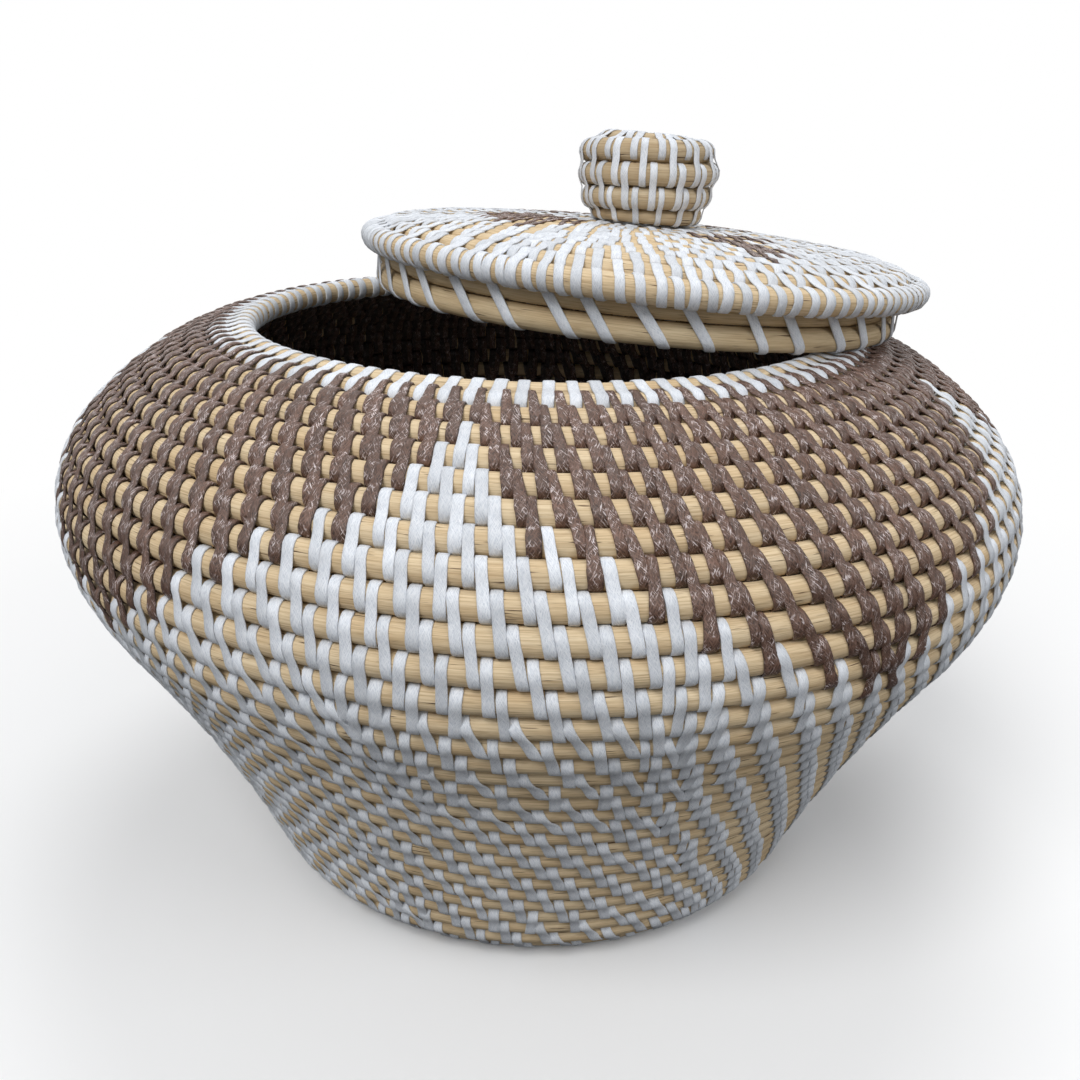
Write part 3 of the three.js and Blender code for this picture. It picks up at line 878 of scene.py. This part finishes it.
def make_knob(place, lid):
    crown = float(lid.profile.place(np.float64(0))[1]) + CANE_RADIUS
    knob = knob_coil(place, crown)
    cane_piece("knob_cane_round", "knob_cane", knob, 0, knob.turns, "lid", tone=0.0)
    first = FIRST_STITCH + np.arange(KNOB_FIRST_ROUND) / KNOB_FIRST_ROUND
    others = np.arange(KNOB_SECOND_TURN, knob.turns, 1 / (KNOB_STITCHES + KNOB_STAGGER))
    q = np.concatenate([first, others])
    q = jittered(knob, q[q < knob.turns - KNOB_BARE_END], COIL_JITTER)
    crowded = np.clip(spacing(knob, q) / KNOB_FULL_SPACING, KNOB_LEAST_WIDTH, 1)
    widths = np.full(len(q), KNOB_WIDTH) * crowded
    parts = stitches(knob, q, widths, widths * KNOB_LOWER, np.full(len(q), KNOB_SHIFT),
                     KNOB_THICK_OWN, KNOB_THICK_BEFORE, dip=KNOB_DIP)
    strip_piece("stitches_knob", parts, "lid", "white_strip")


# Knots at the start of each coil
KNOT_LOOPS = 9
KNOT_RINGS = 20
KNOT_LOOP_PART = 0.98
KNOT_HALF_WIDTH = 3.2
KNOT_HALF_HEIGHT = 2.0
KNOT_GROWTH = 0.02
KNOT_STRIP_WIDTH = 1.7
KNOT_GRAIN = 2.6


def rounded(wave, power):
    """A sine or cosine made fuller, so that a loop has flat sides and round corners."""
    return np.sign(wave) * np.abs(wave) ** power


def wound_knot(name, node, body, place, floor=None):
    """Strip wound over and over across the middle, each loop turned a little from the last."""
    low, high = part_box(node)
    middle = np.array((low + high) / 2) / MM
    turn = np.linspace(0, TURN * KNOT_LOOP_PART, KNOT_RINGS)
    lean = math.pi * np.arange(KNOT_LOOPS) / KNOT_LOOPS
    radial = KNOT_HALF_WIDTH * rounded(np.cos(turn), 0.6)
    level = KNOT_HALF_HEIGHT * rounded(np.sin(turn), 0.7)
    level = level * (1 + KNOT_GROWTH * np.arange(KNOT_LOOPS))[:, None]
    line = np.stack([radial * np.cos(lean)[:, None], radial * np.sin(lean)[:, None], level], -1)
    normal = line / np.linalg.norm(line, axis=-1, keepdims=True)
    across = np.stack([-np.sin(lean), np.cos(lean), np.zeros(KNOT_LOOPS)], -1)[:, None]
    across = across * np.ones((1, KNOT_RINGS, 1))
    points = (line[:, :, None] + KNOT_STRIP_WIDTH * STRIP_ACROSS[:, None] * across[:, :, None]
              + THICK_OWN * STRIP_UP[:, None] * normal[:, :, None])
    points = points @ np.array(place.to_3x3()).T + middle
    if floor is not None:
        points[..., 2] = np.maximum(points[..., 2], floor)
    run = np.broadcast_to(turn * KNOT_GRAIN, (KNOT_LOOPS, KNOT_RINGS))
    strip_piece(name, (points, run), body, "white_strip", [node])


# Stray fibres that stand off the strips
FIBRE_RINGS = 9
FIBRE_SIDES = 3
FIBRE_ROOT = 0.2
FIBRE_OUTER = 1.2
FIBRE_RADIUS = 0.05
FIBRE_TAPER = 0.7
FIBRE_LENGTHS = (1.2, 2.6)
FIBRE_RISE = (0.2, 0.7)
FIBRE_SPREAD = 0.6
FIBRE_BOW = 0.45
FIBRE_GRAIN_ALONG = 5
FIBRE_GRAIN_ACROSS = 0.15
WHITE_FIBRES, BROWN_FIBRES = 26, 16


def stray_fibres(name, coil, body, slot, turns):
    count = len(turns)
    centre, toward, out, _ = coil.rows(turns)
    angle = coil.angle(turns)
    root = coil.solid(centre + (CANE_RADIUS + FIBRE_ROOT) * (0.9 * out - 0.3 * toward), angle)
    inner = coil.solid(centre + (CANE_RADIUS + FIBRE_ROOT) * out, angle)
    outer = coil.solid(centre + (CANE_RADIUS + FIBRE_OUTER) * out, angle)
    off = outer - inner
    aim = off * rng.uniform(*FIBRE_RISE, (count, 1)) + rng.normal(0, FIBRE_SPREAD, (count, 3))
    bow = rng.normal(0, FIBRE_BOW, (count, 3))
    t = np.linspace(0, 1, FIBRE_RINGS)[None, :, None]
    size = rng.uniform(*FIBRE_LENGTHS, (count, 1, 1))
    line = root[:, None] + size * (t * aim[:, None] + t * t * bow[:, None])
    around = TURN * np.arange(FIBRE_SIDES) / FIBRE_SIDES
    section = np.stack([np.cos(around), np.sin(around), np.zeros(FIBRE_SIDES)], -1)
    thin = FIBRE_RADIUS * (1 - FIBRE_TAPER * t)
    points = line[:, :, None] + thin[..., None] * section[None, None]
    run = np.broadcast_to(t[..., 0] * FIBRE_GRAIN_ALONG, (count, FIBRE_RINGS))
    across = np.broadcast_to(np.arange(FIBRE_SIDES + 1) * FIBRE_GRAIN_ACROSS, (count, FIBRE_SIDES + 1))
    mesh = tube_mesh(name, points, run, across, rng.uniform(0, 1, count))
    piece(name, mesh, body, slot)


# Studio in metres and radians, with the camera's lens and sensor in millimetres
FLOOR_HALF = 12.0
FLOOR_FADE = (0.17, 0.40)
WORLD_STRENGTH = 0.44
CAMERA_YAW, CAMERA_PITCH, CAMERA_ROLL = 0.0017, 0.3886, 0.0265
CAMERA_PLACE = (0, -0.2941, 0.2076)
CAMERA_LENS, CAMERA_SENSOR = 34.955, 36


def floor_material():
    """Pale round the object, where it takes the shadow, and plain white to the camera farther out."""
    n = Nodes("floor")
    position = n.add("ShaderNodeNewGeometry").outputs["Position"]
    length = n.add("ShaderNodeVectorMath", operation="LENGTH")
    n.link(position, length.inputs[0])
    far = n.grey(length.outputs["Value"], *FLOOR_FADE)
    to_camera = n.add("ShaderNodeLightPath").outputs["Is Camera Ray"]
    far = n.maths("MULTIPLY", far, to_camera)
    pale = n.mix(to_camera, (0.10, 0.10, 0.10, 1), (0.92, 0.92, 0.92, 1))
    n.link(pale, n.shader.inputs["Base Color"])
    n.shader.inputs["Roughness"].default_value = 0.9
    n.shader.inputs["Specular IOR Level"].default_value = 0.1
    white = n.add("ShaderNodeEmission")
    white.inputs["Strength"].default_value = 1.0
    mix = n.add("ShaderNodeMixShader")
    n.link(far, mix.inputs[0])
    n.link(n.shader.outputs["BSDF"], mix.inputs[1])
    n.link(white.outputs["Emission"], mix.inputs[2])
    n.link(mix.outputs["Shader"], n.tree.nodes["Material Output"].inputs["Surface"])
    return n.material


def make_floor():
    corners = [(-1, -1, 0), (1, -1, 0), (1, 1, 0), (-1, 1, 0)]
    corners = [(FLOOR_HALF * x, FLOOR_HALF * y, z) for x, y, z in corners]
    mesh = bpy.data.meshes.new("floor")
    mesh.from_pydata(corners, [], [(0, 1, 2, 3)])
    mesh.uv_layers.new(name="Length")
    mesh.materials.append(floor_material())
    floor = bpy.data.objects.new("floor", mesh)
    bpy.context.scene.collection.objects.link(floor)


def make_lamp(name, place, aim, size, power):
    light = bpy.data.lights.new(name, "AREA")
    light.shape = "DISK"
    light.size, light.energy = size, power
    thing = bpy.data.objects.new(name, light)
    thing.location = place
    thing.rotation_euler = (Vector(aim) - Vector(place)).to_track_quat("-Z", "Y").to_euler()
    bpy.context.scene.collection.objects.link(thing)


def make_world():
    """A soft pale light that shows as plain white to the camera and in reflections."""
    world = bpy.data.worlds.new("studio")
    bpy.context.scene.world = world
    world.use_nodes = True
    tree = world.node_tree
    path = tree.nodes.new("ShaderNodeLightPath")
    seen = path.outputs["Is Camera Ray"]
    for ray in ("Is Glossy Ray", "Is Transmission Ray"):
        either = tree.nodes.new("ShaderNodeMath")
        either.operation = "MAXIMUM"
        tree.links.new(seen, either.inputs[0])
        tree.links.new(path.outputs[ray], either.inputs[1])
        seen = either.outputs[0]
    soft = tree.nodes["Background"]
    soft.inputs["Color"].default_value = (0.95, 0.97, 1.0, 1)
    soft.inputs["Strength"].default_value = WORLD_STRENGTH
    white = tree.nodes.new("ShaderNodeBackground")
    white.inputs["Color"].default_value = (1, 1, 1, 1)
    white.inputs["Strength"].default_value = 1.0
    mix = tree.nodes.new("ShaderNodeMixShader")
    tree.links.new(seen, mix.inputs[0])
    tree.links.new(soft.outputs[0], mix.inputs[1])
    tree.links.new(white.outputs[0], mix.inputs[2])
    tree.links.new(mix.outputs[0], tree.nodes["World Output"].inputs["Surface"])


def make_camera():
    """The place and turn that were fitted to the outline of the jar in the photograph."""
    yaw, pitch, roll = CAMERA_YAW, CAMERA_PITCH, CAMERA_ROLL
    ahead = Vector((math.sin(yaw) * math.cos(pitch), math.cos(yaw) * math.cos(pitch), -math.sin(pitch)))
    right = Vector((math.cos(yaw), -math.sin(yaw), 0))
    up = right.cross(ahead)
    right, up = math.cos(roll) * right + math.sin(roll) * up, math.cos(roll) * up - math.sin(roll) * right
    view = Matrix((right, up, -ahead)).transposed().to_4x4()
    view.translation = CAMERA_PLACE
    camera = bpy.data.cameras.new("camera")
    camera.lens, camera.sensor_width = CAMERA_LENS, CAMERA_SENSOR
    camera.clip_start, camera.clip_end = 0.01, 50
    thing = bpy.data.objects.new("camera", camera)
    thing.matrix_world = view
    bpy.context.scene.collection.objects.link(thing)
    bpy.context.scene.camera = thing


# The object, piece by piece. Most steps draw from rng, so their order stays.
jar = jar_coil()
make_jar_canes(jar)
make_jar_stitches(jar)
place = lid_place()
lid = lid_coil(place)
make_hoops(place)
cane_piece("lid_cane_round", "lid_cane", lid, 0, lid.turns, "lid")
make_wraps(lid)
make_lid_stitches(lid)
make_knob(place, lid)
wound_knot("base_knot_wound", "base_start_knot", "jar", Matrix(), floor=0.0)
wound_knot("lid_knot_wound", "lid_start_knot", "lid", place)
wound_knot("knob_knot_wound", "knob_start_knot", "lid", place)
white_turns = rng.uniform(13, jar.turns - 5, WHITE_FIBRES)
stray_fibres("fibres_white", jar, "jar", "white_strip", white_turns)
brown_turns = jar.turns - rng.uniform(2, 8, BROWN_FIBRES)
stray_fibres("fibres_brown", jar, "jar", "brown_strip", brown_turns)

# The studio
make_floor()
make_world()
make_lamp("key", (-0.55, -1.0, 1.35), (0, 0, 0.08), 0.9, 16.5)
make_lamp("fill", (1.1, -0.7, 0.9), (0, 0, 0.08), 0.8, 5)
make_lamp("top", (0.1, 0.5, 1.5), (0, 0, 0.1), 0.8, 6)
make_camera()
bpy.context.scene.view_settings.view_transform = "Standard"
